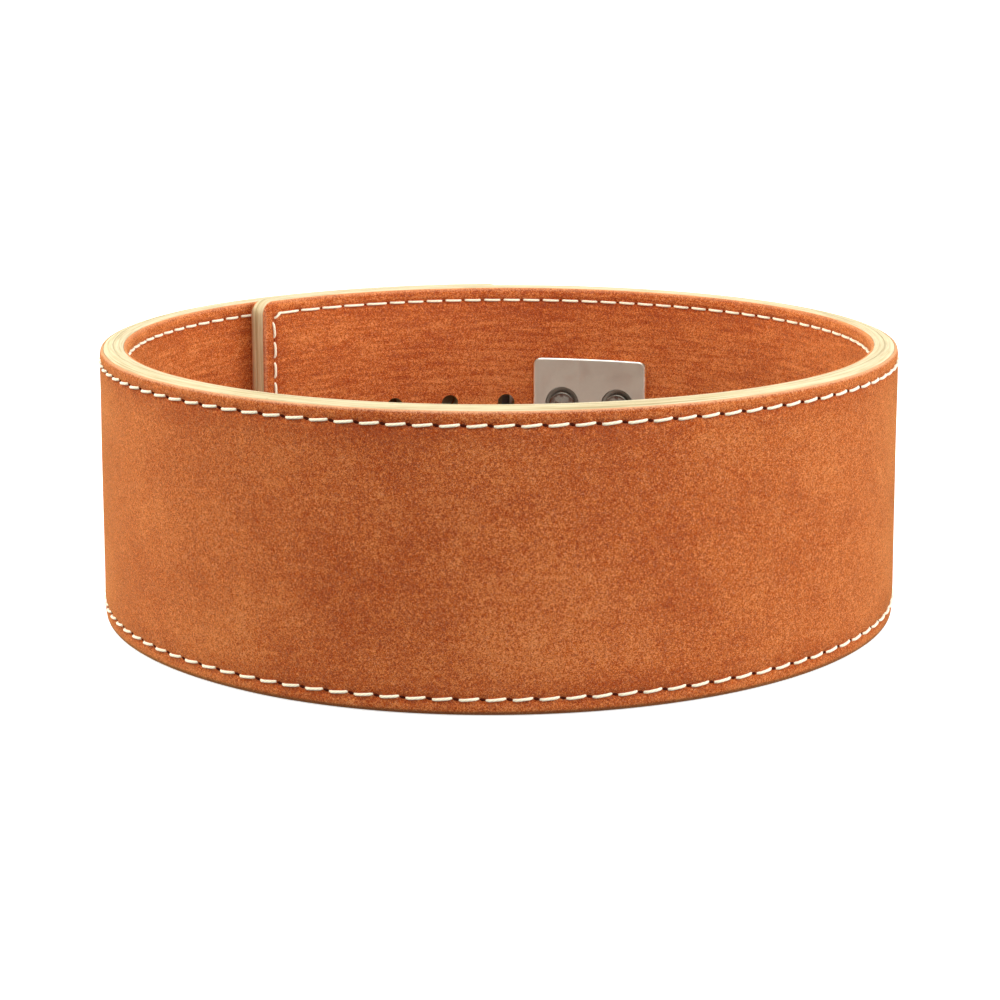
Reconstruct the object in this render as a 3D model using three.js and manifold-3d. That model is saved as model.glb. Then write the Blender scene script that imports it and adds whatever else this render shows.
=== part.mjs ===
// A weightlifting belt: suede skins stitched over a two-ply leather core, closed into a loop by a
// lever clasp, and standing on its lower edge. Millimetres, +Z up, the open loop's axis upright.
import * as THREE from 'three';
import { mergeVertices } from 'three/addons/utils/BufferGeometryUtils.js';
import Module from 'manifold-3d';

const wasm = await Module();
wasm.setup();

// The strap's section
const strapHeight = 100;
const plyThickness = 3.5;
const suedeThickness = 1.3;
const glueGap = 0.15; // glue line between two layers
const edgeReveal = 1.1; // the suede stops this far short of the core's crowned edge
const crownWidth = 1.6; // width of the slope that crowns the core's edge
const suedeBevel = 0.7;
const tipCorner = 6; // corner radius of both ends of the strap

// The loop, an ellipse seen from above
const loopHalfLength = 139;
const loopHalfWidth = 124;
const loopTurn = 12; // degrees, of the ellipse's long axis about the vertical
const outerTipAngle = 80; // degrees round the ellipse, where the outer end of the strap stops
const lapLength = 113; // the inner end runs on this far behind the outer end
const lapGap = 0.5;
const lapRelief = 7; // the outer end stays clear of the inner tip for this much further
const lapEase = 200; // and then comes back to the loop's line over this length
const tipRise = 1.4; // the inner tip stands this much higher than the rest
const riseLength = 280;

// The row of punched holes in the inner end
const holeDiameter = 7.2;
const holePitch = 25;
const holeCount = 8;
const firstHoleFromTip = 64;
const firstScrewHole = 3; // counted from the tip, the first hole being 0
const screwHoleCount = 2;

// The steel backing plate and its screws, inside the loop
const plateMargin = 13; // the plate runs on this far past the centres of its screws
const plateHeight = 40;
const plateThickness = 2;
const plateCorner = 3.5;
const plateBevel = 0.5;
const recessDiameter = 14.6;
const recessDepth = 1;
const headDiameter = 11;
const headHeight = 2.2;
const headBevel = 0.5;
const shankDiameter = 6;
const shankEngagement = 5; // how deep the screws go into the clasp

// The lever clasp, outside the loop
const claspHeight = 72;
const claspReach = 22; // from the outer tip forward over the outer end
const claspThickness = 2.6;
const claspCorner = 6;
const claspBevel = 0.8;
const lipLength = 12; // the lever runs on this far past the spine, and its lip turns out
const lipFlare = 3;
const baseHeight = 66;
const baseThickness = 2.5;
const baseLedge = 7; // the base runs on this far past the spine
const spineHeight = 60;
const spineWall = 3; // beyond the last screw's socket
const tipClearance = 2.5; // between the outer tip and the clasp's base
const prongDiameter = 6;
const prongSpacing = 28;
const prongFromTip = 12;
const prongFootGap = 1; // the prongs end this far short of the inner end's face

const fitGap = 0.3; // clearance between metal pieces and what they sit on or pass through
const prongClearance = 0.4;

// How finely the curves are divided
const stationSpacing = 9;
const cornerSteps = 4;
const holeSides = 12;
const screwSides = 20;
const overcut = 2; // a cutter runs on past both faces by this much

const strapThickness = 2 * (plyThickness + suedeThickness) + 3 * glueGap;
const strapFace = strapThickness / 2;
const lapShift = strapThickness + lapGap;
const holeCentreHeight = strapHeight / 2;

// The line that the strap's middle follows, once round from the outer tip
class LoopLine extends THREE.Curve {
  getPoint(share, target = new THREE.Vector3()) {
    const angle = THREE.MathUtils.degToRad(outerTipAngle + 360 * share);
    const turn = THREE.MathUtils.degToRad(loopTurn);
    const along = loopHalfLength * Math.cos(angle);
    const across = loopHalfWidth * Math.sin(angle);
    const x = along * Math.cos(turn) - across * Math.sin(turn);
    const y = along * Math.sin(turn) + across * Math.cos(turn);
    return target.set(x, y, 0);
  }
}

const loopLine = new LoopLine();
loopLine.arcLengthDivisions = 2000;
const loopLength = loopLine.getLength();
const strapLength = loopLength + lapLength;
const up = new THREE.Vector3(0, 0, 1);

// The outer end lies outside the inner one, and eases back to the loop's line past the inner tip
function outwardShift(distance) {
  const easeStart = lapLength + lapRelief;
  return lapShift * (1 - THREE.MathUtils.smoothstep(distance, easeStart, easeStart + lapEase));
}

function riseAt(distance) {
  return tipRise * THREE.MathUtils.smoothstep(distance, strapLength - riseLength, strapLength);
}

// The strap's own axes at a distance from the outer tip: x back along it, y outward, z up
function strapAxes(distance, height = 0) {
  const share = (distance % loopLength) / loopLength;
  const tangent = loopLine.getTangentAt(share);
  const outward = new THREE.Vector3().crossVectors(tangent, up);
  const origin = loopLine.getPointAt(share);
  origin.addScaledVector(outward, outwardShift(distance));
  origin.z = height + riseAt(distance);
  return new THREE.Matrix4().makeBasis(tangent.clone().negate(), outward, up).setPosition(origin);
}

// Distances along a piece, with the height that its rounded corners take off at each
function stationsAlong(from, to, corner) {
  const leading = [];
  for (let step = 0; step < cornerSteps; step += 1) {
    const angle = (Math.PI / 2) * (step / cornerSteps);
    leading.push({ run: corner * (1 - Math.cos(angle)), trim: corner * (1 - Math.sin(angle)) });
  }
  const straight = to - from - 2 * corner;
  const spans = Math.ceil(straight / stationSpacing);
  const stations = leading.map(({ run, trim }) => ({ distance: from + run, trim }));
  for (let span = 0; span <= spans; span += 1) {
    stations.push({ distance: from + corner + (straight * span) / spans, trim: 0 });
  }
  const trailing = leading.reverse().map(({ run, trim }) => ({ distance: to - run, trim }));
  return stations.concat(trailing);
}

// A closed solid that follows the strap. Its section runs outward from back to face, whose two edges
// are bevelled; back may also be the outer of the two. flare moves the section outward along the way.
function stripGeometry({ from, to, back, face, bottom, top, corner, bevelWidth, bevelDrop, flare }) {
  const shoulder = face - Math.sign(face - back) * bevelWidth;
  const rings = stationsAlong(from, to, corner).map(({ distance, trim }) => {
    const low = bottom + trim;
    const high = top - trim;
    const section = [
      [back, low],
      [shoulder, low],
      [face, low + bevelDrop],
      [face, high - bevelDrop],
      [shoulder, high],
      [back, high],
    ];
    if (face < back) section.reverse();
    const shift = flare ? flare(distance) : 0;
    const axes = strapAxes(distance);
    return section.map(([outward, height]) => (
      new THREE.Vector3(0, outward + shift, height).applyMatrix4(axes)
    ));
  });
  return loftGeometry(rings);
}

// Joins a row of equal rings by quads and closes both ends
function loftGeometry(rings) {
  const count = rings[0].length;
  const index = [];
  for (let ring = 0; ring < rings.length - 1; ring += 1) {
    for (let corner = 0; corner < count; corner += 1) {
      const near = ring * count + corner;
      const nearNext = ring * count + ((corner + 1) % count);
      const far = near + count;
      const farNext = nearNext + count;
      index.push(nearNext, near, far, nearNext, far, farNext);
    }
  }
  const last = (rings.length - 1) * count;
  for (let corner = 1; corner < count - 1; corner += 1) {
    index.push(0, corner, corner + 1);
    index.push(last, last + corner + 1, last + corner);
  }
  const geometry = new THREE.BufferGeometry().setFromPoints(rings.flat());
  geometry.setIndex(index);
  return geometry;
}

function solidOf(geometry) {
  const plain = geometry.clone();
  plain.deleteAttribute('normal');
  plain.deleteAttribute('uv');
  const merged = mergeVertices(plain);
  return new wasm.Manifold(new wasm.Mesh({
    numProp: 3,
    vertProperties: new Float32Array(merged.attributes.position.array),
    triVerts: new Uint32Array(merged.index.array),
  }));
}

function geometryOf(solid) {
  const { vertProperties, triVerts } = solid.getMesh();
  const geometry = new THREE.BufferGeometry();
  geometry.setAttribute('position', new THREE.BufferAttribute(vertProperties, 3));
  geometry.setIndex(new THREE.BufferAttribute(triVerts, 1));
  return geometry;
}

// A round bar square to the strap, between two offsets from its middle
function barSolid({ distance, height, diameter, inner, outer, sides = holeSides }) {
  const bar = new THREE.CylinderGeometry(diameter / 2, diameter / 2, outer - inner, sides);
  bar.translate(0, (inner + outer) / 2, 0);
  bar.applyMatrix4(strapAxes(distance, height));
  return solidOf(bar);
}

const holeDistance = (hole) => strapLength - firstHoleFromTip - hole * holePitch;
const screwHoles = Array.from({ length: screwHoleCount }, (_, screw) => firstScrewHole + screw);
const prongHeights = [-0.5, 0.5].map((share) => holeCentreHeight + share * prongSpacing);

// Every hole through the strap: the punched row of the inner end, and the two that the prongs enter
function strapCutters() {
  const through = { inner: -strapFace - overcut, outer: strapFace + overcut };
  const row = Array.from({ length: holeCount }, (_, hole) => barSolid({
    ...through,
    distance: holeDistance(hole),
    height: holeCentreHeight,
    diameter: holeDiameter,
  }));
  const prongs = prongHeights.map((height) => barSolid({
    ...through,
    distance: prongFromTip,
    height,
    diameter: prongDiameter + 2 * prongClearance,
  }));
  return row.concat(prongs);
}

// One layer of the strap, from tip to tip, with its holes
function layerGeometry({ back, face, reveal, bevelWidth, bevelDrop }) {
  const layer = solidOf(stripGeometry({
    from: reveal,
    to: strapLength - reveal,
    back,
    face,
    bottom: reveal,
    top: strapHeight - reveal,
    corner: tipCorner - reveal,
    bevelWidth,
    bevelDrop,
  }));
  return geometryOf(strapCutters().reduce((rest, cutter) => rest.subtract(cutter), layer));
}

// side is 1 for the layer outside the middle glue line and -1 for the one inside it
function coreGeometry(side) {
  return layerGeometry({
    back: side * glueGap / 2,
    face: side * (glueGap / 2 + plyThickness),
    reveal: 0,
    bevelWidth: crownWidth,
    bevelDrop: edgeReveal,
  });
}

function suedeGeometry(side) {
  return layerGeometry({
    back: side * (strapFace - suedeThickness),
    face: side * strapFace,
    reveal: edgeReveal,
    bevelWidth: suedeBevel,
    bevelDrop: suedeBevel,
  });
}

// The backing plate reaches past its screws, on the strap's inner face
const screwDistances = screwHoles.map(holeDistance);
const nearScrew = Math.max(...screwDistances);
const farScrew = Math.min(...screwDistances);
const plateBack = -strapFace - fitGap;
const plateFace = plateBack - plateThickness;
const recessFloor = plateFace + recessDepth;

function plateGeometry() {
  const blank = solidOf(stripGeometry({
    from: farScrew - plateMargin,
    to: nearScrew + plateMargin,
    back: plateBack,
    face: plateFace,
    bottom: holeCentreHeight - plateHeight / 2,
    top: holeCentreHeight + plateHeight / 2,
    corner: plateCorner,
    bevelWidth: plateBevel,
    bevelDrop: plateBevel,
  }));
  const cuts = screwDistances.flatMap((distance) => [
    barSolid({
      distance,
      height: holeCentreHeight,
      diameter: recessDiameter,
      inner: plateFace - overcut,
      outer: recessFloor,
      sides: screwSides,
    }),
    barSolid({
      distance,
      height: holeCentreHeight,
      diameter: shankDiameter + 2 * fitGap,
      inner: plateFace - overcut,
      outer: plateBack + overcut,
    }),
  ]);
  return geometryOf(cuts.reduce((rest, cut) => rest.subtract(cut), blank));
}

// A screw turned round the y axis: a bevelled head inside the loop and a shank that points outward
const headSeat = recessFloor - fitGap;
const shankEnd = strapFace + fitGap + shankEngagement;

function screwGeometry() {
  const headTop = headSeat - headHeight;
  const headRadius = headDiameter / 2;
  const shankRadius = shankDiameter / 2;
  const profile = [
    [0, headTop],
    [headRadius - headBevel, headTop],
    [headRadius, headTop + headBevel],
    [headRadius, headSeat],
    [shankRadius, headSeat],
    [shankRadius, shankEnd],
    [0, shankEnd],
  ];
  return new THREE.LatheGeometry(profile.map(([radius, along]) => new THREE.Vector2(radius, along)), screwSides);
}

// The clasp sits on the inner end's outer face and reaches over the outer end to hook into it
function claspGeometry() {
  const baseBack = strapFace + fitGap;
  const leverBack = strapFace + lapShift + fitGap;
  const spineEnd = farScrew - shankDiameter / 2 - fitGap - spineWall;
  const freeEnd = spineEnd - lipLength;
  const flare = (distance) => (
    lipFlare * (1 - THREE.MathUtils.smoothstep(distance, freeEnd, spineEnd))
  );
  const lever = solidOf(stripGeometry({
    from: freeEnd,
    to: loopLength + claspReach,
    back: leverBack,
    face: leverBack + claspThickness,
    bottom: holeCentreHeight - claspHeight / 2,
    top: holeCentreHeight + claspHeight / 2,
    corner: claspCorner,
    bevelWidth: claspBevel,
    bevelDrop: claspBevel,
    flare,
  }));
  const base = solidOf(stripGeometry({
    from: spineEnd - baseLedge,
    to: loopLength - tipClearance,
    back: baseBack,
    face: baseBack + baseThickness,
    bottom: holeCentreHeight - baseHeight / 2,
    top: holeCentreHeight + baseHeight / 2,
    corner: plateCorner,
    bevelWidth: plateBevel,
    bevelDrop: plateBevel,
  }));
  const spine = solidOf(stripGeometry({
    from: spineEnd,
    to: loopLength - 2 * tipClearance,
    back: baseBack + baseThickness / 2,
    face: leverBack + claspThickness / 2,
    bottom: holeCentreHeight - spineHeight / 2,
    top: holeCentreHeight + spineHeight / 2,
    corner: plateCorner,
    bevelWidth: plateBevel,
    bevelDrop: plateBevel,
  }));
  const prongs = prongHeights.map((height) => barSolid({
    distance: prongFromTip,
    height,
    diameter: prongDiameter,
    inner: -strapFace - lapGap + prongFootGap,
    outer: strapFace + fitGap + claspThickness / 2,
  }));
  const sockets = screwDistances.map((distance) => barSolid({
    distance,
    height: holeCentreHeight,
    diameter: shankDiameter + 2 * fitGap,
    inner: strapFace,
    outer: shankEnd + fitGap,
  }));
  const body = prongs.reduce((rest, prong) => rest.add(prong), lever.add(base).add(spine));
  return geometryOf(sockets.reduce((rest, socket) => rest.subtract(socket), body));
}

const suedeFinish = { color: 0xc47440, roughness: 0.95, metalness: 0 };
const coreFinish = { color: 0xf0e2b8, roughness: 0.75, metalness: 0 };
const plateFinish = { color: 0xa59a8a, roughness: 0.45, metalness: 0.9 };
const screwFinish = { color: 0x8c8378, roughness: 0.4, metalness: 0.9 };
const claspFinish = { color: 0xb4b0aa, roughness: 0.35, metalness: 0.95 };

function namedMesh(name, geometry, finish) {
  const mesh = new THREE.Mesh(geometry, new THREE.MeshStandardMaterial(finish));
  mesh.name = name;
  return mesh;
}

const belt = new THREE.Group();
belt.add(namedMesh('outer_suede', suedeGeometry(1), suedeFinish));
belt.add(namedMesh('outer_core_ply', coreGeometry(1), coreFinish));
belt.add(namedMesh('inner_core_ply', coreGeometry(-1), coreFinish));
belt.add(namedMesh('inner_suede', suedeGeometry(-1), suedeFinish));
belt.add(namedMesh('backing_plate', plateGeometry(), plateFinish));
screwDistances.forEach((distance, screw) => {
  const mesh = namedMesh(`screw_${screw + 1}`, screwGeometry(), screwFinish);
  mesh.applyMatrix4(strapAxes(distance, holeCentreHeight));
  belt.add(mesh);
});
belt.add(namedMesh('lever_clasp', claspGeometry(), claspFinish));

// The origin is the middle of the footprint, on the surface that the belt stands on
const bounds = new THREE.Box3().setFromObject(belt);
belt.position.set(
  -(bounds.min.x + bounds.max.x) / 2,
  -(bounds.min.y + bounds.max.y) / 2,
  -bounds.min.z,
);

export default belt;
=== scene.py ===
import math
import bmesh
import bpy
import numpy as np
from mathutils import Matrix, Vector


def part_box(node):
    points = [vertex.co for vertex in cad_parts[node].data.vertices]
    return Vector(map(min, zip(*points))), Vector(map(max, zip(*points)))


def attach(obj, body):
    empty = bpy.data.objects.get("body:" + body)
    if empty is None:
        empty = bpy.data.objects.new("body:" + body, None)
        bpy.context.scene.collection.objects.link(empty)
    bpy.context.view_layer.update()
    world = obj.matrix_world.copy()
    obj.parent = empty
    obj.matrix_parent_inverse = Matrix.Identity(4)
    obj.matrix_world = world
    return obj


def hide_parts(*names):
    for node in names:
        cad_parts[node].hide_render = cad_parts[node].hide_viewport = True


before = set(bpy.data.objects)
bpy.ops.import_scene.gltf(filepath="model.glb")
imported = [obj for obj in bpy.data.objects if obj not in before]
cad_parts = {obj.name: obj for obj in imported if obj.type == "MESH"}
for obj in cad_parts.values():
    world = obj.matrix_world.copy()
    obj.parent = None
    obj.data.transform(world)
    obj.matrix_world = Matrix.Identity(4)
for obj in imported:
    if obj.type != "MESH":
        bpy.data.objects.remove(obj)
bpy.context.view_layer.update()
print("frame loaded:", ", ".join(sorted(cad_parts)))

mm = 0.001  # every dictionary below is in millimetres, every mesh in metres

view = {
    "place": (0.0001, -0.7800, 0.2342),
    "pitch": 11.54,  # degrees below the horizon
    "lens": 76.65,
    "shift": -0.1,
}


def makeCamera():
    data = bpy.data.cameras.new("camera")
    data.lens = view["lens"]
    data.sensor_width = 36
    data.shift_y = view["shift"]
    data.clip_start = 0.02
    data.clip_end = 200
    camera = bpy.data.objects.new("camera", data)
    camera.location = view["place"]
    camera.rotation_euler = (math.radians(90 - view["pitch"]), 0, 0)
    bpy.context.scene.collection.objects.link(camera)
    bpy.context.scene.camera = camera


makeCamera()

# The strap runs round a turned oval seen from above, from its outer tip at the back, over the left
# and the front, to its inner tip behind the outer end
strap = {
    "halfLength": 139,
    "halfWidth": 124,
    "turn": 12,
    "tipAngle": 80,
    "lap": 113,  # how far the two ends overlap
    "lapShift": 10.55,  # the outer end stands this far out
    "relief": 7,
    "ease": 200,
    "rise": 1.4,  # the inner end stands this much higher
    "riseLength": 280,
    "height": 100,
    "lean": 1.2,  # the soft strap leans in at the top and out at the bottom, by half of this each
    "corner": 6,
    "face": 5.025,  # from the strap's middle to its suede face
    "coreFace": 3.575,  # and to the core's face
    "glue": 0.075,  # half of the glue line between the plies
}
sweep = math.radians(strap["tipAngle"]) + np.linspace(0, 2 * math.pi, 7201)


def smoothStep(value, low, high):
    share = np.clip((value - low) / (high - low), 0, 1)
    return share * share * (3 - 2 * share)


def ovalPoint(angle):
    turn = math.radians(strap["turn"])
    along = strap["halfLength"] * np.cos(angle)
    across = strap["halfWidth"] * np.sin(angle)
    return (along * math.cos(turn) - across * math.sin(turn),
            along * math.sin(turn) + across * math.cos(turn))


ovalX, ovalY = ovalPoint(sweep)
ovalArc = np.concatenate([[0], np.cumsum(np.hypot(np.diff(ovalX), np.diff(ovalY)))])
loopLength = float(ovalArc[-1])
strapLength = loopLength + strap["lap"]


def pathAt(distance):
    angle = np.interp(np.mod(distance, loopLength), ovalArc, sweep)
    x, y = ovalPoint(angle)
    aheadX, aheadY = ovalPoint(angle + 0.0005)
    behindX, behindY = ovalPoint(angle - 0.0005)
    runX = aheadX - behindX
    runY = aheadY - behindY
    size = np.hypot(runX, runY)
    return x, y, runX / size, runY / size


def shiftAt(distance):
    start = strap["lap"] + strap["relief"]
    return strap["lapShift"] * (1 - smoothStep(distance, start, start + strap["ease"]))


def riseAt(distance):
    return strap["rise"] * smoothStep(distance, strapLength - strap["riseLength"], strapLength)


def leanAt(height):
    return strap["lean"] * (0.5 - height / strap["height"])


placement = np.zeros(3)  # set below, so that the outer ply lies where the frame has it


# A point of the strap: distance from the outer tip, outward from the strap's middle, and height
def onStrap(distance, outward, height):
    x, y, runX, runY = pathAt(distance)
    reach = shiftAt(distance) + outward + leanAt(height)
    z = height + riseAt(distance)
    x, y, z = np.broadcast_arrays(x + runY * reach, y - runX * reach, z)
    return np.stack([x, y, z], axis=-1) * mm + placement


stations = np.linspace(0, strapLength, 8001)
rim = np.concatenate([onStrap(stations, strap[key], 0) for key in ("glue", "coreFace")])
coreLow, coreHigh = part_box("outer_core_ply")
placement[:2] = (np.array(coreLow + coreHigh)[:2] - rim.min(0)[:2] - rim.max(0)[:2]) / 2

# The length as laid flat, measured along the strap's middle; rows of stitches are even in it
middle = onStrap(stations, 0, 0)
laidTable = np.concatenate([[0], np.cumsum(np.linalg.norm(np.diff(middle, axis=0), axis=1))]) / mm
laidLength = float(laidTable[-1])


def distanceOf(laid):
    return np.interp(laid, laidTable, stations)


def directionsAt(distance):
    near = onStrap(distance - 0.5, 0, 0)
    far = onStrap(distance + 0.5, 0, 0)
    run = far - near
    run[..., 2] = 0
    run = run / np.linalg.norm(run, axis=-1, keepdims=True)
    outward = np.stack([run[..., 1], -run[..., 0], np.zeros_like(run[..., 0])], axis=-1)
    return run, outward


print("strap laid flat:", round(laidLength, 1), "mm, loop", round(loopLength, 1), "mm")


# One socket of a node tree. Plain arithmetic on it adds Math nodes.
class Wire:
    def __init__(self, board, socket):
        self.board = board
        self.socket = socket

    def math(self, operation, first, second=None):
        values = {0: first}
        if second is not None:
            values[1] = second
        return self.board.node("ShaderNodeMath", {"operation": operation}, values)

    def __add__(self, other):
        return self.math("ADD", self, other)

    def __radd__(self, other):
        return self.math("ADD", other, self)

    def __sub__(self, other):
        return self.math("SUBTRACT", self, other)

    def __rsub__(self, other):
        return self.math("SUBTRACT", other, self)

    def __mul__(self, other):
        return self.math("MULTIPLY", self, other)

    def __rmul__(self, other):
        return self.math("MULTIPLY", other, self)

    def __pow__(self, other):
        return self.math("POWER", self, other)

    def __abs__(self):
        return self.math("ABSOLUTE", self)

    def least(self, other):
        return self.math("MINIMUM", self, other)


# A node tree under construction
class Board:
    def __init__(self, tree):
        self.tree = tree

    def place(self, kind, settings=None, sockets=None):
        node = self.tree.nodes.new(kind)
        for key, value in (settings or {}).items():
            if key == "stops":
                ramp = node.color_ramp
                while len(ramp.elements) < len(value):
                    ramp.elements.new(0.5)
                for element, (position, shade) in zip(ramp.elements, value):
                    element.position = position
                    element.color = (*shade, 1)
            else:
                setattr(node, key, value)
        for key, value in (sockets or {}).items():
            if isinstance(value, Wire):
                self.tree.links.new(value.socket, node.inputs[key])
            else:
                node.inputs[key].default_value = value
        return node

    def node(self, kind, settings=None, sockets=None, output=0):
        return Wire(self, self.place(kind, settings, sockets).outputs[output])

    def link(self, wire, socket):
        self.tree.links.new(wire.socket, socket)

    # Shades two colours into each other
    def blend(self, factor, first, second):
        return self.node("ShaderNodeMix", {"data_type": "RGBA"},
                         {0: factor, 6: shade(first), 7: shade(second)}, 2)

    def noise(self, vector, scale, detail=2, roughness=0.5, distortion=0):
        return self.node("ShaderNodeTexNoise", None,
                         {"Vector": vector, "Scale": scale, "Detail": detail,
                          "Roughness": roughness, "Distortion": distortion})

    def stretch(self, vector, scale):
        return self.node("ShaderNodeMapping", None, {"Vector": vector, "Scale": scale})

    def objectPlace(self):
        return self.node("ShaderNodeTexCoord", None, None, "Object")

    def uvMap(self, name):
        return self.node("ShaderNodeUVMap", {"uv_map": name})

    def part(self, vector, axis):
        return self.node("ShaderNodeSeparateXYZ", None, {"Vector": vector}, axis)

    def band(self, value, low, high):
        return self.node("ShaderNodeMapRange", {"interpolation_type": "SMOOTHSTEP"},
                         {"Value": value, "From Min": low, "From Max": high})


def shade(value):
    return value if isinstance(value, Wire) else (*value, 1)


def newMaterial(name):
    material = bpy.data.materials.new(name)
    material.use_nodes = True
    material.node_tree.nodes.clear()
    return material, Board(material.node_tree)


# The shader itself: uniform values go straight on its sockets, bump joins in as height in metres
def finishMaterial(board, sockets, height=None):
    if height is not None:
        bump = board.node("ShaderNodeBump", None, {"Height": height, "Distance": 1.0, "Strength": 1.0})
        sockets = {**sockets, "Normal": bump}
    surface = board.node("ShaderNodeBsdfPrincipled", None, sockets)
    board.place("ShaderNodeOutputMaterial", None, {"Surface": surface})


suede = {
    "dark": (0.33, 0.035, 0.0015),
    "middle": (0.585, 0.098, 0.0066),
    "light": (0.92, 0.320, 0.088),
    # pale nap fibres, their whitish tint partly painted sheen highlight
    "fibreSheen": (1.0, 0.61, 0.38),
    "rawEdge": (0.86, 0.48, 0.28),
    "contactShadow": (0.16, 0.045, 0.012),
    "patches": (26, 2, 0.45, 0.3),  # noise: scale, detail, roughness, distortion
    "clouds": (110, 3, 0.6, 0.4),
    "nap": (1900, 3, 0.62, 1.1),
    "grain": (798, 2, 0.5, 0.8),
    "curls": (1500, 1, 0.5, 2.2),
    "streaks": (1, 3, 0.6, 0.3),
    "streakStretch": (60, 620, 1),
    "tones": {"patches": 0.6, "clouds": 0.35, "nap": 3.2, "grain": 0.8},
    "relief": {"clouds": 0.12, "nap": 0.16, "grain": 0.10},
    "fibreWidth": 0.045,
    "fibreShare": 0.7,
    "fibreRelief": 0.06,
    "rowShadow": 0.24,  # painted shadow of the threads and their groove: the suede is darker right at the stitches
    "rowShadowWidth": (0.4, 1.9),
    "rowShade": 0.13,  # and a little darker inside the row
    "shadeStart": (0, 1),
    "shadeEnd": (2, 10),
    "rawWidth": (-0.1, 1.1),
    "rawFray": 2.2,
    "contactShadowShare": 0.85,  # painted contact shadow: the lower edge is darker where it meets the floor
    "contactShadowWidth": (1.8, 2.7),
    "roughness": 0.92,
    "specular": 0.15,
    "sheen": 0.75,
    "sheenRoughness": 0.33,
    "sheenTint": (1.0, 0.52, 0.16),
}


def bandMm(board, value, limits):
    return board.band(value, limits[0] * mm, limits[1] * mm)


# The raw edge is paler; streaks run along the strap where it is bent inward
def suedeMaterial(name, rawEdge, streak):
    material, board = newMaterial(name)
    place = board.objectPlace()
    layers = {key: board.noise(place, *suede[key]) for key in ("patches", "clouds", "nap", "grain", "curls")}
    nap = layers["nap"]
    laid = board.uvMap("strap")
    streaks = board.noise(board.stretch(laid, suede["streakStretch"]), *suede["streaks"])
    tone = (streaks - 0.5) * streak
    for key, share in suede["tones"].items():
        tone = tone + (layers[key] - 0.5) * share
    along = board.part(laid, "X")
    height = board.part(laid, "Y")
    margin = height.least(strap["height"] * mm - height).least(along).least(laidLength * mm - along)
    inside = margin - thread["rowInset"] * mm
    # painted shadow right at the stitches, and painted shade a little way inside the row
    rowShadow = 1 - bandMm(board, abs(inside), suede["rowShadowWidth"])
    rowShade = bandMm(board, inside, suede["shadeStart"]) * (1 - bandMm(board, inside, suede["shadeEnd"]))
    tone = tone - rowShadow * suede["rowShadow"] - rowShade * suede["rowShade"]
    colour = board.node("ShaderNodeValToRGB", {
        "stops": [(0.05, suede["dark"]), (0.5, suede["middle"]), (0.95, suede["light"])],
    }, {"Fac": tone + 0.5})
    # pale fibres of the nap, partly their own colour and partly painted sheen highlight
    fibreSheen = 1 - board.band(abs(layers["curls"] - 0.5), 0.0, suede["fibreWidth"])
    colour = board.blend(fibreSheen * nap * suede["fibreShare"], colour, suede["fibreSheen"])
    fade = 1 - bandMm(board, margin - nap * suede["rawFray"] * mm, suede["rawWidth"])
    colour = board.blend(fade * rawEdge, colour, suede["rawEdge"])
    # painted contact shadow along the lower edge of the suede
    contactShadowMask = 1 - bandMm(board, height, suede["contactShadowWidth"])
    colour = board.blend(contactShadowMask * suede["contactShadowShare"], colour, suede["contactShadow"])
    relief = fibreSheen * (suede["fibreRelief"] * mm)
    for key, share in suede["relief"].items():
        relief = relief + layers[key] * (share * mm)
    finishMaterial(board, {
        "Base Color": colour,
        "Roughness": suede["roughness"],
        "Specular IOR Level": suede["specular"],
        "Sheen Weight": suede["sheen"],
        "Sheen Roughness": suede["sheenRoughness"],
        "Sheen Tint": (*suede["sheenTint"], 1),
    }, relief)
    return material


cutEdge = {
    "pale": (0.68, 0.59, 0.37),
    "warm": (0.50, 0.40, 0.21),
    "line": (0.34, 0.25, 0.12),
    "roughness": 0.62,
    "specular": 0.35,
    "fibreStretch": (90, 2600, 1),
    "strandStretch": (28, 900, 1),
    "threadStretch": (14, 1500, 1),
    "layer": 1.9,  # each ply shows one finer line this far from the glue line
    "layerWidth": (0.02, 0.22),
    "layerShare": 0.55,
    "glueWidth": (0.04, 0.40),
    "glueShare": 0.5,
    "threadShare": 0.7,
    "poreShare": 0.5,
}


def cutEdgeMaterial(name):
    material, board = newMaterial(name)
    rimMap = board.uvMap("rim")
    fibres = board.noise(board.stretch(rimMap, cutEdge["fibreStretch"]), 1, 3, 0.6, 0.2)
    strands = board.noise(board.stretch(rimMap, cutEdge["strandStretch"]), 1, 2, 0.5, 0.1)
    threads = board.noise(board.stretch(rimMap, cutEdge["threadStretch"]), 1, 2, 0.5, 0.15)
    pores = board.noise(board.objectPlace(), 900, 2, 0.5)
    across = abs(board.part(rimMap, "Y"))
    glueLine = 1 - bandMm(board, across, cutEdge["glueWidth"])
    layerLine = 1 - bandMm(board, abs(across - cutEdge["layer"] * mm), cutEdge["layerWidth"])
    worn = fibres * 0.45 + strands * 0.55
    colour = board.blend(board.band(worn, 0.34, 0.60), cutEdge["warm"], cutEdge["pale"])
    for mask in ((1 - board.band(threads, 0.30, 0.42)) * cutEdge["threadShare"],
                 layerLine * strands * cutEdge["layerShare"],
                 glueLine * cutEdge["glueShare"],
                 board.band(pores, 0.70, 0.78) * cutEdge["poreShare"]):
        colour = board.blend(mask, colour, cutEdge["line"])
    height = fibres * 0.00008 + strands * 0.00010 - glueLine * 0.00012
    finishMaterial(board, {
        "Base Color": colour,
        "Roughness": cutEdge["roughness"],
        "Specular IOR Level": cutEdge["specular"],
    }, height)
    return material


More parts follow.
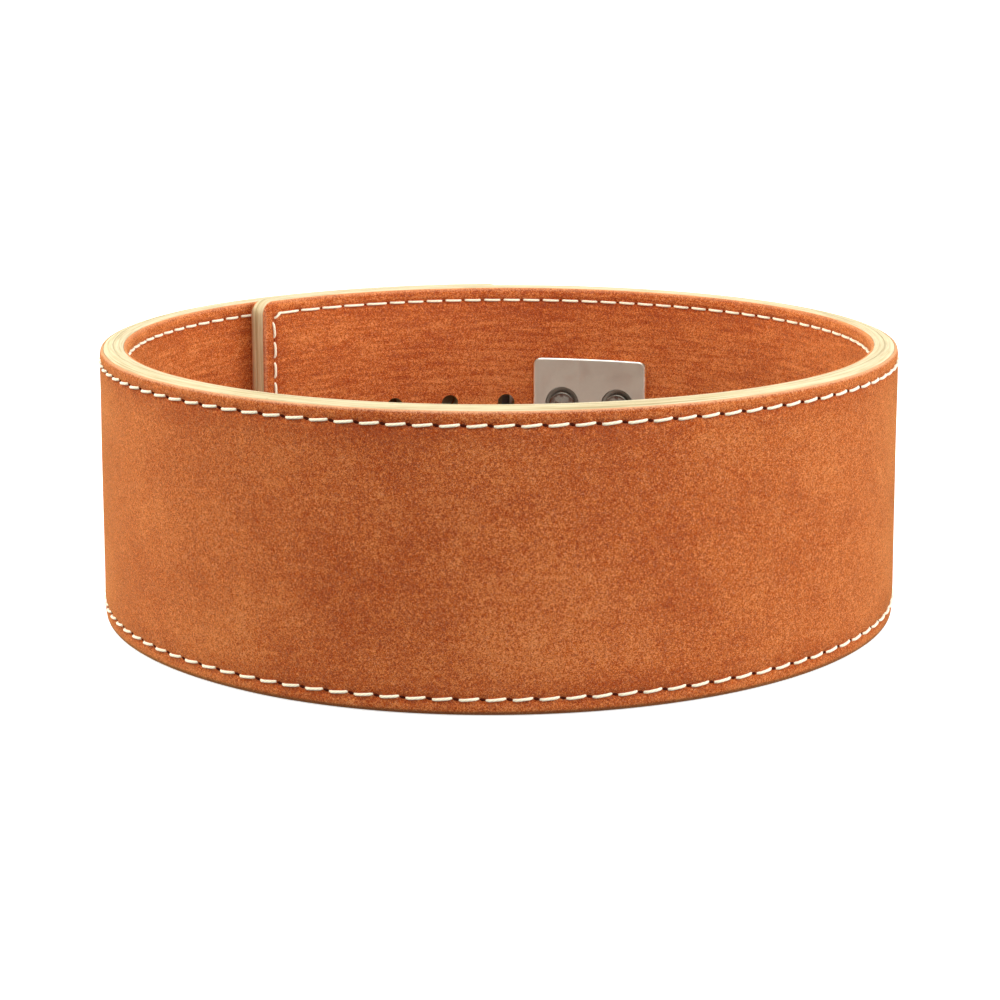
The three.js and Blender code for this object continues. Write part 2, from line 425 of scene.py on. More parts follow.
thread = {
    "pitch": 8.334,
    "topPhase": 283.3,  # laid length of one needle hole of the top row
    "bottomPhase": 289.05,
    "rowInset": 5.65,  # from the strap's edge
    "endInset": 6.1,  # from the strap's tip
    "cornerRadius": 4,
    "endStitches": 10,
    "cornerDepth": 8.2,  # the corner's hole, from the edge and from the tip
    "cornerInset": 5.3,
    "bendAlong": 8.8,  # where the corner's stitch turns into the row
    "bendOverlap": 0.45,
    "leastStitch": 0.6,  # no stitch is shorter than this share of the pitch
    "longStitches": 5,  # the last stitches of a row are longer: five take the room of six
    "backStretch": 2.1,  # the row lags this much along the back
    "backStart": (680, 720),
    "backEnd": (800, 893),
    # hole: the size of the dark lens of painted needle-hole shade
    "outside": {"side": 1, "gap": 2.35, "slant": 0.62, "hole": (2.3, 1.1, 0.55)},
    "inside": {"side": -1, "gap": 2.3, "slant": 0.15, "hole": (1.0, 0.5, 0.35)},
    "length": 6.4,
    "radius": 0.51,
    "seat": 0.02,  # the thread's middle above the suede's face
    "dive": 0.85,
    "turns": 4.5,  # of its three plies, along a stitch
    "colour": (0.98, 0.91, 0.70),
    "shadow": (0.82, 0.68, 0.45),
    "paintedGlow": (1, 0.92, 0.70),  # painted glow: the thread gives off a little light of its own, to look brighter
    "paintedGlowStrength": 0.10,
    # painted shade inside the needle holes
    "holeShadeDark": (0.035, 0.006, 0.004),
    "holeShadePale": (0.110, 0.020, 0.010),
}


def threadMaterial(name):
    material, board = newMaterial(name)
    along = board.node("ShaderNodeAttribute", {"attribute_name": "along"}, None, "Fac")
    around = board.node("ShaderNodeAttribute", {"attribute_name": "around"}, None, "Fac")
    place = board.objectPlace()
    turn = (around * 3 + along * thread["turns"]) * (2 * math.pi)
    plies = board.node("ShaderNodeMath", {"operation": "SINE"}, {0: turn}) * 0.5 + 0.5
    fibres = board.noise(place, 2600, 2, 0.6)
    soil = board.noise(place, 90, 2, 0.5)
    mix = board.band(plies * 0.75 + fibres * 0.4 + soil * 0.2, 0.15, 0.75)
    colour = board.blend(mix, thread["shadow"], thread["colour"])
    # the emission is a painted glow that brightens the thread
    finishMaterial(board, {
        "Base Color": colour,
        "Roughness": 0.55,
        "Sheen Weight": 0.2,
        "Emission Color": (*thread["paintedGlow"], 1),
        "Emission Strength": thread["paintedGlowStrength"],
    }, plies * 0.00006 + fibres * 0.00002)
    return material


# Painted shade inside a needle hole: a near-black fuzz
def needleShadeMaterial(name):
    material, board = newMaterial(name)
    fuzz = board.noise(board.objectPlace(), 1800, 2, 0.6)
    colour = board.blend(fuzz, thread["holeShadeDark"], thread["holeShadePale"])
    finishMaterial(board, {
        "Base Color": colour,
        "Roughness": 1.0,
        "Specular IOR Level": 0.0,
    }, fuzz * 0.0001)
    return material


steel = {
    "plate": {"colour": (0.43, 0.40, 0.335), "roughness": 0.44, "grain": (700, 700, 700), "unevenness": 0.04},
    "screw": {"colour": (0.17, 0.15, 0.125), "roughness": 0.22, "grain": (900, 900, 900), "unevenness": 0.15},
    "clasp": {"colour": (0.55, 0.54, 0.52), "roughness": 0.30, "grain": (90, 90, 2600), "unevenness": 0.18},
    "grainDepth": 0.01,
    "blotches": 0.14,  # added to the roughness
    "edgeHighlight": (0.92, 0.89, 0.82),  # painted highlight along the plate's rounded edge
    "polishAndHighlightWidth": (0.3, 0.95),
    "polishShine": 0.22,
    "recess": (0.16, 0.14, 0.11),  # painted shade on the walls round its screws
    "recessDepth": (0.3, 1.2),
    "recessShadeShare": 0.6,
}


# Satin or brushed steel; the grain runs across the direction in which its scale is largest
def steelMaterial(name, look, edged=False):
    material, board = newMaterial(name)
    place = board.objectPlace()
    grain = board.noise(board.stretch(place, look["grain"]), 1, 3, 0.6)
    stain = board.noise(place, 130, 3, 0.55)
    dull = tuple(value * (1 - look["unevenness"]) for value in look["colour"])
    tone = board.blend(board.band(grain * 0.5 + stain * 0.5, 0.35, 0.65), dull, look["colour"])
    rough = board.band(stain, 0.3, 0.7) * steel["blotches"] + look["roughness"]
    if edged:
        flat = board.uvMap("flat")
        polishAndHighlight = 1 - bandMm(board, board.part(flat, "X"), steel["polishAndHighlightWidth"])
        # painted shade down the walls of the recesses round the screws
        recessShade = bandMm(board, board.part(flat, "Y"), steel["recessDepth"])
        tone = board.blend(recessShade * (1 - polishAndHighlight) * steel["recessShadeShare"], tone, steel["recess"])
        # painted highlight on the rounded edge, which is also made glossier
        tone = board.blend(polishAndHighlight, tone, steel["edgeHighlight"])
        rough = rough - polishAndHighlight * steel["polishShine"]
    finishMaterial(board, {
        "Base Color": tone,
        "Metallic": 1.0,
        "Roughness": rough,
    }, grain * (steel["grainDepth"] * mm))
    return material


materials = {
    "suede": suedeMaterial("suede", 0.75, 0.25),
    "innerSuede": suedeMaterial("suede inside", 0.25, 1.1),
    "cutEdge": cutEdgeMaterial("cut edge of the core"),
    "thread": threadMaterial("cream thread"),
    "needleShade": needleShadeMaterial("needle hole"),
    "plate": steelMaterial("satin plate", steel["plate"], edged=True),
    "screw": steelMaterial("turned screw", steel["screw"]),
    "clasp": steelMaterial("brushed clasp", steel["clasp"]),
}
print("materials made:", len(materials))


def addObject(name, mesh, material=None):
    item = bpy.data.objects.new(name, mesh)
    bpy.context.scene.collection.objects.link(item)
    if material:
        mesh.materials.clear()
        mesh.materials.append(material)
    return item


def outwardNormals(mesh):
    work = bmesh.new()
    work.from_mesh(mesh)
    bmesh.ops.recalc_face_normals(work, faces=work.faces)
    work.to_mesh(mesh)
    work.free()


def meshFromWork(name, work):
    bmesh.ops.recalc_face_normals(work, faces=work.faces)
    mesh = bpy.data.meshes.new(name)
    work.to_mesh(mesh)
    work.free()
    return mesh


def meshFromFaces(name, points, faces):
    mesh = bpy.data.meshes.new(name)
    mesh.from_pydata([tuple(point) for point in points], [], [[int(spot) for spot in face] for face in faces])
    return mesh


def mapByVertex(mesh, name, pairs):
    corners = np.zeros(len(mesh.loops), int)
    mesh.loops.foreach_get("vertex_index", corners)
    layer = mesh.uv_layers.new(name=name)
    layer.data.foreach_set("uv", pairs[corners].ravel())


# Smooth all over, with an edge wherever the faces meet at more than this angle
def smoothMesh(mesh, degrees):
    mesh.polygons.foreach_set("use_smooth", [True] * len(mesh.polygons))
    mesh.set_sharp_from_angle(angle=math.radians(degrees))


# Replaces an object's mesh by what its modifiers make of it
def bakeModifiers(item):
    graph = bpy.context.evaluated_depsgraph_get()
    made = bpy.data.meshes.new_from_object(item.evaluated_get(graph), depsgraph=graph)
    made.name = item.name
    item.modifiers.clear()
    item.data = made
    return item


def cutAway(item, cutter):
    modifier = item.modifiers.new("cut", "BOOLEAN")
    modifier.operation = "DIFFERENCE"
    modifier.solver = "EXACT"
    modifier.object = cutter
    return bakeModifiers(item)


# The holes through the strap
holes = {
    "pitch": 25,
    "count": 8,
    "firstFromTip": 64,
    "screwed": (3, 4),
    "height": 50,
    "diameter": 7.2,
    "prongFromTip": 12,
    "prongSpacing": 28,
    "prongHole": 6.8,
    "sides": 40,
    "cutterLength": 17,
}
rowDistances = [strapLength - holes["firstFromTip"] - holes["pitch"] * step
                for step in range(holes["count"])]
prongHeights = [holes["height"] + side * holes["prongSpacing"] / 2 for side in (-1, 1)]
punchedHoles = [(distance, holes["height"], holes["diameter"]) for distance in rowDistances]
punchedHoles += [(holes["prongFromTip"], height, holes["prongHole"]) for height in prongHeights]


# Points that carry a direction along, a direction outward and a stretch, for the node trees below
def makeGuides(name, points, along, outward, stretch):
    mesh = meshFromFaces(name, points, [])
    for key, values in (("run", along), ("outward", outward), ("stretch", stretch)):
        layer = mesh.attributes.new(key, "FLOAT_VECTOR", "POINT")
        layer.data.foreach_set("vector", np.asarray(values, float).ravel())
    return addObject(name, mesh)


def newTree(name, inputs):
    tree = bpy.data.node_groups.new(name, "GeometryNodeTree")
    tree.interface.new_socket(name="Geometry", in_out="INPUT", socket_type="NodeSocketGeometry")
    for label, kind, value in inputs:
        socket = tree.interface.new_socket(name=label, in_out="INPUT", socket_type=kind)
        if value is not None:
            socket.default_value = value
    tree.interface.new_socket(name="Geometry", in_out="OUTPUT", socket_type="NodeSocketGeometry")
    board = Board(tree)
    source = tree.nodes.new("NodeGroupInput")
    return board, {socket.name: Wire(board, socket) for socket in source.outputs if socket.name}


# The end of every tree: one template on each guide point, made real and given its material
def plantTemplate(board, entry, template):
    def attribute(name):
        return board.node("GeometryNodeInputNamedAttribute", {"data_type": "FLOAT_VECTOR"}, {"Name": name})

    turn = board.node("FunctionNodeAxesToRotation", {"primary_axis": "Z", "secondary_axis": "X"},
                      {0: attribute("outward"), 1: attribute("run")})
    planted = board.node("GeometryNodeInstanceOnPoints", None, {
        "Points": entry["Geometry"],
        "Instance": template,
        "Rotation": turn,
        "Scale": attribute("stretch"),
    })
    real = board.node("GeometryNodeRealizeInstances", None, {"Geometry": planted})
    dressed = board.node("GeometryNodeSetMaterial", None, {"Geometry": real, "Material": entry["Material"]})
    board.place("NodeGroupOutput", None, {0: dressed})
    return board.tree


def growPiece(guides, tree, values):
    modifier = guides.modifiers.new("grow", "NODES")
    modifier.node_group = tree
    for socket in tree.interface.items_tree:
        if socket.in_out == "INPUT" and socket.name in values:
            modifier[socket.identifier] = values[socket.name]
    return bakeModifiers(guides)


# Perforations: a row of round cutters standing across the strap
def cutterTree():
    board, entry = newTree("punch cutters", [
        ("Sides", "NodeSocketInt", 32),
        ("Length", "NodeSocketFloat", 0.02),
        ("Material", "NodeSocketMaterial", None),
    ])
    template = board.node("GeometryNodeMeshCylinder", {"fill_type": "NGON"}, {
        "Vertices": entry["Sides"],
        "Radius": 0.5,
        "Depth": entry["Length"],
    })
    return plantTemplate(board, entry, template)


def punchGuides(name, chosen):
    distances = np.array([hole[0] for hole in chosen])
    heights = np.array([hole[1] for hole in chosen])
    run, outward = directionsAt(distances)
    stretch = [(hole[2] * mm, hole[2] * mm, 1) for hole in chosen]
    return makeGuides(name, onStrap(distances, 0, heights), run, outward, stretch)


punch = growPiece(punchGuides("punch", punchedHoles), cutterTree(), {
    "Sides": holes["sides"],
    "Length": holes["cutterLength"] * mm,
    "Material": materials["suede"],
})


# Where the needle went through: the rows along both edges and across both ends
def needleRows():
    pitch = thread["pitch"]
    bend = thread["bendAlong"]
    least = thread["leastStitch"] * pitch
    last = laidLength - bend
    long = thread["longStitches"]
    rows = []
    for side, phase in (("bottom", thread["bottomPhase"]), ("top", thread["topPhase"])):
        first = phase - pitch * math.floor((phase - bend - least) / pitch)
        spots = np.arange(first, last - least, pitch)
        along = smoothStep(spots, *thread["backStart"]) * (1 - smoothStep(spots, *thread["backEnd"]))
        spots = [bend] + list(spots - thread["backStretch"] * along) + [last]
        spots[-long - 2:] = np.linspace(spots[-long - 2], last, long + 1)
        height = thread["rowInset"] if side == "bottom" else strap["height"] - thread["rowInset"]
        rows.append((side, [(float(spot), height) for spot in spots]))
    depth = thread["cornerDepth"]
    steps = np.linspace(depth, strap["height"] - depth, thread["endStitches"] + 1)
    inward = np.full(len(steps), thread["endInset"])
    inward[[0, -1]] = thread["cornerInset"]
    rows.append(("start", [(float(x), float(z)) for x, z in zip(inward, steps)]))
    rows.append(("finish", [(float(laidLength - x), float(z)) for x, z in zip(inward, steps)]))
    corners = []
    for index in (0, 1):
        for tip, end in ((rows[2][1], 0), (rows[3][1], -1)):
            side = rows[index][1][end]
            corners.append([side, tip[-index]] if end else [tip[-index], side])
    rows += [("corner", pair) for pair in corners]
    return rows


# How far a spot lies from the line of a rounded frame; positive inside
def insetOf(laid, height, border, radius):
    centreX = laidLength / 2
    centreZ = strap["height"] / 2
    qx = np.abs(laid - centreX) - (centreX - border[0] - radius)
    qz = np.abs(height - centreZ) - (centreZ - border[1] - radius)
    outside = np.hypot(np.maximum(qx, 0), np.maximum(qz, 0))
    return radius - outside - np.minimum(np.maximum(qx, qz), 0)


skin = {
    "back": 3.725,
    "inset": {1: 1.1, -1: 0.6},  # the suede stops this far inside the core's edge, outside and inside
    "drop": {1: 0.8, -1: 0},  # and its lower edge hangs this much below that, within dropReach
    "dropReach": 9,
    "edgeRound": 0.65,
    "pillow": 0.50,  # how far the margin outside the stitches falls towards its edge
    "pillowWidth": 3.6,
    "groove": 0.55,
    "grooveWidth": 1.45,
    "pinch": 0.30,
    "pinchWidth": 1.1,
    "wave": 0.10,  # the face isn't quite even, along or up the strap
    "waveStart": 10,  # from the rows of stitches inwards
    # spacing of the sheet's rows and columns, close together at its edge and at the stitches
    "edgeSteps": (0, 0.08, 0.22, 0.42, 0.66, 0.92, 1.3, 1.8, 2.4, 3.0, 3.5, 3.9, 4.25, 4.6, 4.95, 5.3,
                  5.7, 6.2, 6.9, 7.8),
    "columnStep": 0.95,
    "rowStep": 2.6,
    "sharp": 40,
}


def skinRelief(laid, height, inset, needles):
    edge = insetOf(laid, height, (inset, inset), strap["corner"] - inset)
    line = insetOf(laid, height, (thread["endInset"], thread["rowInset"]), thread["cornerRadius"])
    rounding = skin["edgeRound"]
    into = np.clip(rounding - edge, 0, rounding)
    relief = np.sqrt(rounding ** 2 - into ** 2) - rounding
    relief -= skin["pillow"] * np.clip(1 - edge / skin["pillowWidth"], 0, 1) ** 2
    relief -= skin["groove"] * np.exp(-(line / skin["grooveWidth"]) ** 2)
    waves = np.sin(laid / 17 + 1.3 * np.sin(height / 23)) * np.sin(height / 14 + laid / 61)
    waves += 0.5 * np.sin(laid / 41 + 2) * np.sin(height / 31 + laid / 97)
    relief += skin["wave"] * waves * smoothStep(line, 0, skin["waveStart"])
    reach = 3 * skin["pinchWidth"]
    for spotX, spotZ in needles:
        columns = np.abs(laid[:, 0] - spotX) < reach
        if not columns.any():
            continue
        far = (laid[columns] - spotX) ** 2 + (height[columns] - spotZ) ** 2
        relief[columns] -= skin["pinch"] * np.exp(-far / skin["pinchWidth"] ** 2)
    return relief


def spreadSteps(length, edges, step):
    inner = length - 2 * edges[-1]
    count = max(2, round(inner / step))
    between = edges[-1] + inner * np.arange(1, count) / count
    return np.concatenate([edges, between, length - np.array(edges)[::-1]])


# One suede skin: a fine sheet over the face with a wall down its edge and a plain back
def makeSkin(name, side, needles):
    inset = skin["inset"][side]
    corner = strap["corner"] - inset
    span = laidLength - 2 * inset
    tall = strap["height"] - 2 * inset
    columns = spreadSteps(span, skin["edgeSteps"], skin["columnStep"])
    levels = spreadSteps(tall, skin["edgeSteps"], skin["rowStep"])
    fromEnd = np.minimum(columns, span - columns)
    cut = corner - np.sqrt(np.maximum(corner ** 2 - np.maximum(corner - fromEnd, 0) ** 2, 0))
    laid = np.repeat(columns[:, None] + inset, len(levels), axis=1)
    height = inset + cut[:, None] + (tall - 2 * cut[:, None]) * levels[None, :] / tall
    relief = skinRelief(laid, height, inset, needles)
    lowered = height - skin["drop"][side] * np.clip(1 - (height - inset) / skin["dropReach"], 0, 1) ** 2
    face = onStrap(distanceOf(laid), side * (strap["face"] + relief), lowered)
    count, high = laid.shape
    index = np.arange(count * high).reshape(count, high)
    edge = np.concatenate([index[:, 0], index[-1, 1:], index[-2::-1, -1], index[0, -2:0:-1]])
    flat = np.stack([laid.ravel(), height.ravel()], axis=-1)
    back = onStrap(distanceOf(flat[edge, 0]), side * skin["back"], lowered.ravel()[edge])
    under = count * high + np.arange(len(edge))
    quads = np.stack([index[:-1, :-1], index[1:, :-1], index[1:, 1:], index[:-1, 1:]], axis=-1).reshape(-1, 4)
    walls = np.stack([edge, np.roll(edge, -1), np.roll(under, -1), under], axis=-1)
    bottom = under[:count]
    top = under[count + high - 2:2 * count + high - 2][::-1]
    backs = np.stack([bottom[:-1], bottom[1:], top[1:], top[:-1]], axis=-1)
    faces = [list(face) for face in np.concatenate([quads, walls, backs])]
    faces.append(list(under[count - 1:count + high - 1]))
    faces.append([under[0]] + list(under[2 * count + high - 3:]))
    mesh = meshFromFaces(name, np.concatenate([face.reshape(-1, 3), back]), faces)
    outwardNormals(mesh)
    mapByVertex(mesh, "strap", np.concatenate([flat, flat[edge]]) * mm)
    item = addObject(name, mesh, materials["suede" if side == 1 else "innerSuede"])
    cutAway(item, punch)
    smoothMesh(item.data, skin["sharp"])
    return item


rows = needleRows()
bends = [row[1][end] for row in rows[:2] for end in (0, -1)]
needles = [spot for row in rows[:4] for spot in row[1] if spot not in bends]
outerSkin = makeSkin("outer_suede_skin", 1, needles)
innerSkin = makeSkin("inner_suede_skin", -1, needles)
print("suede skins made:", len(outerSkin.data.polygons), len(innerSkin.data.polygons), "faces")

core = {
    "steps": (0.015, 0.2, 0.45, 0.9, 1.6, 2.3, 2.85, 3.2, 3.42, 3.575),
    "crown": {1: 1.1, -1: 0.6},  # the rim falls this much from the middle to the suede
    "crownPower": 2.4,
    "glueDip": 0.10,
    "glueDipWidth": 0.2,
    "columns": 520,
    "cornerSteps": 8,
    "sharp": 50,
}


# A rounded frame on the laid strap, counter-clockwise, with matching spots on its two long sides
def roundedFrame(left, right, bottom, top, radius, columns, steps):
    long = np.linspace(left + radius, right - radius, columns)

    def arc(x, z, start, chosen):
        turns = np.radians(start + np.linspace(0, 90, steps + 1)[chosen])
        return np.stack([x + radius * np.cos(turns), z + radius * np.sin(turns)], axis=-1)

    later = slice(1, None)
    sooner = slice(None, -1)
    return np.concatenate([
        np.stack([long, np.full(columns, bottom)], axis=-1),
        arc(right - radius, bottom + radius, 270, later),
        arc(right - radius, top - radius, 0, sooner),
        np.stack([long[::-1], np.full(columns, top)], axis=-1),
        arc(left + radius, top - radius, 90, later),
        arc(left + radius, bottom + radius, 180, sooner),
    ])


# One ply of the core: frames at several depths, stitched into a closed solid
def makePly(name, side):
    columns = core["columns"]
    frames = []
    for step in core["steps"]:
        fall = core["crown"][side] * (step / strap["coreFace"]) ** core["crownPower"]
        fall += core["glueDip"] * math.exp(-(step / core["glueDipWidth"]) ** 2)
        outline = roundedFrame(fall, laidLength - fall, fall, strap["height"] - fall, strap["corner"] - fall,
                               columns, core["cornerSteps"])
        frames.append(onStrap(distanceOf(outline[:, 0]), side * step, outline[:, 1]))
    size = len(frames[0])
    ring = np.arange(size)
    first = roundedFrame(0, laidLength, 0, strap["height"], strap["corner"], columns, core["cornerSteps"])
    legs = np.linalg.norm(np.diff(np.concatenate([first, first[:1]]), axis=0), axis=1)
    around = np.concatenate([[0], np.cumsum(legs)]) * mm
    faces = []
    maps = []
    for level in range(len(frames) - 1):
        low = side * core["steps"][level] * mm
        high = side * core["steps"][level + 1] * mm
        for spot in ring:
            after = (spot + 1) % size
            base = level * size
            faces.append([base + spot, base + after, base + size + after, base + size + spot])
            here, ahead = around[spot], around[spot + 1]
            maps += [(here, low), (ahead, low), (ahead, high), (here, high)]
    for level in (0, len(frames) - 1):
        base = level * size
        deep = side * core["steps"][level] * mm
        topStart = columns + 2 * core["cornerSteps"]
        bottom = base + np.arange(columns)
        top = base + topStart + np.arange(columns)[::-1]
        for spot in range(columns - 1):
            faces.append([bottom[spot], bottom[spot + 1], top[spot + 1], top[spot]])
            maps += [(around[spot], deep)] * 4
        faces.append(list(base + np.arange(columns - 1, topStart + 1)))
        faces.append([base] + list(base + np.arange(topStart + columns - 1, size)))
        maps += [(0, deep)] * (len(faces[-2]) + len(faces[-1]))
    mesh = meshFromFaces(name, np.concatenate(frames), faces)
    layer = mesh.uv_layers.new(name="rim")
    layer.data.foreach_set("uv", np.array(maps, float).ravel())
    outwardNormals(mesh)
    item = addObject(name, mesh, materials["cutEdge"])
    cutAway(item, punch)
    smoothMesh(item.data, core["sharp"])
    return item


outerPly = makePly("outer_core_leather", 1)
innerPly = makePly("inner_core_leather", -1)
print("core plies made:", len(outerPly.data.polygons), len(innerPly.data.polygons), "faces")


# A stitch: a short thread that dives into the leather at both ends
def stitchTree():
    board, entry = newTree("stitches", [
        ("Length", "NodeSocketFloat", 0.0065),
        ("Radius", "NodeSocketFloat", 0.0006),
        ("Dive", "NodeSocketFloat", 0.0008),
        ("Rings", "NodeSocketInt", 8),
        ("Sides", "NodeSocketInt", 7),
        ("Material", "NodeSocketMaterial", None),
    ])
    start = board.node("ShaderNodeCombineXYZ", None, {"X": entry["Length"] * -0.5})
    end = board.node("ShaderNodeCombineXYZ", None, {"X": entry["Length"] * 0.5})
    line = board.node("GeometryNodeCurvePrimitiveLine", None, {"Start": start, "End": end})
    line = board.node("GeometryNodeResampleCurve", None, {"Curve": line, "Count": entry["Rings"]})
    share = board.node("GeometryNodeSplineParameter", None, None, "Factor")
    fromMiddle = abs(share * 2 - 1)
    fall = board.node("ShaderNodeCombineXYZ", None, {"Z": fromMiddle ** 5 * entry["Dive"] * -1})
    line = board.node("GeometryNodeSetPosition", None, {"Geometry": line, "Offset": fall})
    swell = 1 - fromMiddle ** 4 * 0.3
    line = board.node("GeometryNodeSetCurveRadius", None, {"Curve": line, "Radius": swell})
    line = board.node("GeometryNodeStoreNamedAttribute", {"data_type": "FLOAT", "domain": "POINT"},
                      {"Geometry": line, "Name": "along", "Value": share})
    ring = board.node("GeometryNodeCurvePrimitiveCircle", None,
                      {"Resolution": entry["Sides"], "Radius": entry["Radius"]})
    ring = board.node("GeometryNodeStoreNamedAttribute", {"data_type": "FLOAT", "domain": "POINT"},
                      {"Geometry": ring, "Name": "around", "Value": share})
    body = board.node("GeometryNodeCurveToMesh", None,
                      {"Curve": line, "Profile Curve": ring, "Fill Caps": True})
    body = board.node("GeometryNodeSetShadeSmooth", None, {"Geometry": body})
    return plantTemplate(board, entry, body)


# Painted shade of a needle hole: a small dark lens that lies in the dip between two stitches
def needleShadeTree():
    board, entry = newTree("needle holes", [("Material", "NodeSocketMaterial", None)])
    lens = board.node("GeometryNodeMeshUVSphere", None, {"Segments": 8, "Rings": 5, "Radius": 0.5})
    lens = board.node("GeometryNodeSetShadeSmooth", None, {"Geometry": lens})
    return plantTemplate(board, entry, lens)


# The laid stitch is turned about its middle and drawn out to its length
def makeStitches(name, look):
    starts, ends, slopes = [], [], []
    for kind, spots in rows:
        for first, second in zip(spots, spots[1:]):
            ahead = np.subtract(second, first) / math.dist(first, second)
            pull = [-thread["bendOverlap"] if spot in bends else look["gap"] / 2 for spot in (first, second)]
            starts.append(first + ahead * pull[0])
            ends.append(second - ahead * pull[1])
            bent = first in bends or second in bends
            slopes.append(look["slant"] if kind in ("bottom", "top") and not bent else 0.0)
    starts = np.array(starts)
    ends = np.array(ends)
    middle = (starts + ends) / 2
    flat = ends - starts
    flat[:, 1] += np.array(slopes)
    distance = distanceOf(middle[:, 0])
    run, outward = directionsAt(distance)
    along = run * flat[:, :1] + np.array([0, 0, 1]) * flat[:, 1:]
    length = np.linalg.norm(along, axis=1)
    points = onStrap(distance, look["side"] * (strap["face"] + thread["seat"]), middle[:, 1])
    stretch = np.stack([length / thread["length"], np.ones_like(length), np.ones_like(length)], axis=-1)
    guides = makeGuides(name, points, along / length[:, None], outward * look["side"], stretch)
    return growPiece(guides, stitchTrees, {
        "Length": thread["length"] * mm,
        "Radius": thread["radius"] * mm,
        "Dive": thread["dive"] * mm,
        "Material": materials["thread"],
    })


def makeNeedleHoleShades(name, look):
    spots = np.array([(*spot, kind in ("bottom", "top")) for kind, row in rows[:4]
                      for spot in row if spot not in bends], float)
    distance = distanceOf(spots[:, 0])
    run, outward = directionsAt(distance)
    level = spots[:, 2:]
    up = np.array([0.0, 0.0, 1.0])
    along = level * (run * look["gap"] - up * look["slant"]) + (1 - level) * up
    along = along / np.linalg.norm(along, axis=1, keepdims=True)
    deep = strap["face"] - skin["groove"] - skin["pinch"] * 0.75
    points = onStrap(distance, look["side"] * deep, spots[:, 1])
    stretch = np.tile(np.array(look["hole"]) * mm, (len(points), 1))
    guides = makeGuides(name, points, along, outward * look["side"], stretch)
    return growPiece(guides, needleShadeTrees, {"Material": materials["needleShade"]})


stitchTrees = stitchTree()
needleShadeTrees = needleShadeTree()
outerStitches = makeStitches("outer_stitches", thread["outside"])
innerStitches = makeStitches("inner_stitches", thread["inside"])
outerNeedleShades = makeNeedleHoleShades("outer_needle_holes", thread["outside"])
innerNeedleShades = makeNeedleHoleShades("inner_needle_holes", thread["inside"])
print("stitches made:", len(outerStitches.data.polygons), "faces a side")


# Bars and plates are made flat, as distance, outward and height, then bent onto the strap
def stackFrames(work, frames):
    rings = [[work.verts.new((x, outward, z)) for x, z in outline] for outline, outward in frames]
    for low, high in zip(rings, rings[1:]):
        for spot in range(len(low)):
            after = (spot + 1) % len(low)
            work.faces.new([low[spot], low[after], high[after], high[spot]])
    work.faces.new(rings[0][::-1])
    work.faces.new(rings[-1])


# A plate with rounded corners and rounded edges on both sides
def platedSolid(work, left, right, bottom, top, back, face, corner, rounding, steps=4):
    turns = np.linspace(0, math.pi / 2, steps + 1)
    sign = 1 if face > back else -1
    frames = []
    for turn in turns:
        fall = rounding * (1 - math.sin(turn))
        frames.append((fall, back + sign * rounding * (1 - math.cos(turn))))
    for turn in turns[::-1]:
        fall = rounding * (1 - math.sin(turn))
        frames.append((fall, face - sign * rounding * (1 - math.cos(turn))))
    stackFrames(work, [
        (roundedFrame(left + fall, right - fall, bottom + fall, top - fall, corner - fall, 2, 6), outward)
        for fall, outward in frames
    ])


# Cuts it across every 2 mm, so that it can bend
def sliceAlong(work, left, right, step=2.0):
    for spot in np.arange(left + step, right, step):
        bmesh.ops.bisect_plane(work, geom=work.verts[:] + work.edges[:] + work.faces[:],
                               plane_co=(spot, 0, 0), plane_no=(1, 0, 0), dist=1e-5)


# Bends a flat mesh by a function of distance, outward and height
def bendMesh(mesh, bend):
    flat = np.zeros(len(mesh.vertices) * 3)
    mesh.vertices.foreach_get("co", flat)
    mesh.vertices.foreach_set("co", bend(*flat.reshape(-1, 3).T).ravel())
    mesh.update()
    outwardNormals(mesh)


# A body turned about a line through the strap: frames of (outward, radius), closed at both ends
def turnedRings(work, distance, height, stations, sides=48):
    turns = np.linspace(0, 2 * math.pi, sides, endpoint=False)
    frames = []
    for outward, radius in stations:
        if isinstance(radius, tuple):  # a hexagon across its flats
            reach = radius[0] / 2 / np.cos((turns + math.pi / 6) % (math.pi / 3) - math.pi / 6)
        else:
            reach = np.full(sides, radius)
        outline = np.stack([distance + reach * np.cos(turns), height + reach * np.sin(turns)], axis=-1)
        frames.append((outline, outward))
    stackFrames(work, frames)


plate = {
    "height": 40,
    "margin": 13,
    "corner": 3.5,
    "back": -5.325,
    "face": -7.325,
    "rounding": 0.95,
    "recess": 14.6,
    "recessFloor": -5.65,
    "recessRound": 0.3,
    "sharp": 25,
}
nearScrew, farScrew = (rowDistances[spot] for spot in holes["screwed"])


